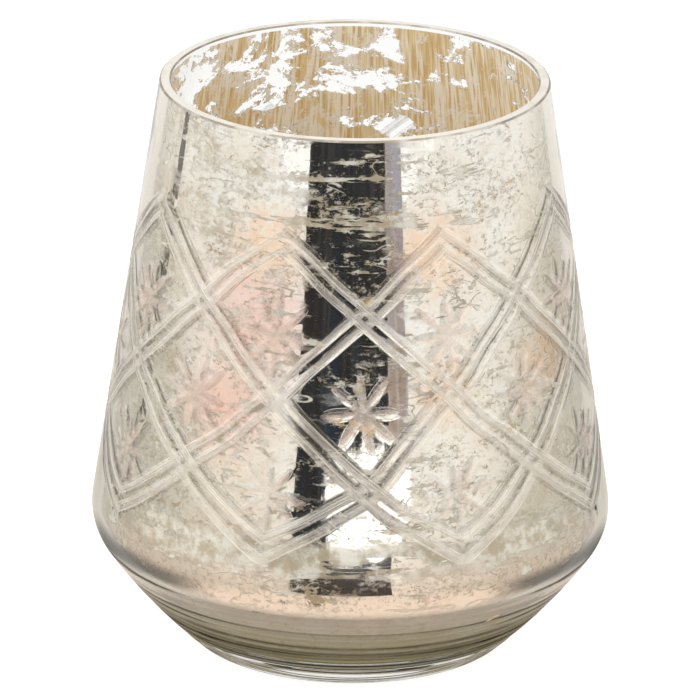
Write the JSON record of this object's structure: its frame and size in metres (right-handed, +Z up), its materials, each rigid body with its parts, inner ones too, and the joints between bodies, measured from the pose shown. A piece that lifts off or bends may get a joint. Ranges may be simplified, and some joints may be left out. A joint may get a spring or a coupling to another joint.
{
  "type": "tealight holder",
  "caption": "Round-shouldered glass tealight holder, silvered inside and cut outside with a diamond lattice and stars, with a tealight that lifts out.",
  "frame": {"origin": "centre of the flat base, on the surface that the holder stands on", "axes": "+Z up along the holder's axis, out of its mouth; -Y is the front that is seen first, +X is to the right from there"},
  "size_m": [0.13, 0.13, 0.144],
  "materials": {
    "cut_glass": "clear blown glass, polished, wheel-cut grooves, ground rim",
    "silver_film": "mirror silver, worn through in flecks and patches",
    "gold_lacquer": "brushed gold-brown lacquer, satin, worn through in patches",
    "cup_foil": "bright pressed foil",
    "wax": "white paraffin wax, slightly translucent",
    "wick_cotton": "waxed braided cotton",
    "sustainer_tin": "pressed tin plate"
  },
  "bodies": {
    "holder": {"glass_body": "cut_glass", "silver_coat": "silver_film", "lacquer_coat": "gold_lacquer"},
    "tealight": {"tealight_cup": "cup_foil", "tealight_wax": "wax", "tealight_wick": "wick_cotton", "wick_sustainer": "sustainer_tin"}
  },
  "joints": [
    {"name": "tealight_lift", "type": "slide", "parent": "holder", "child": "tealight", "axis": [0, 0, 1], "range_m": [0, 0.16]}
  ]
}
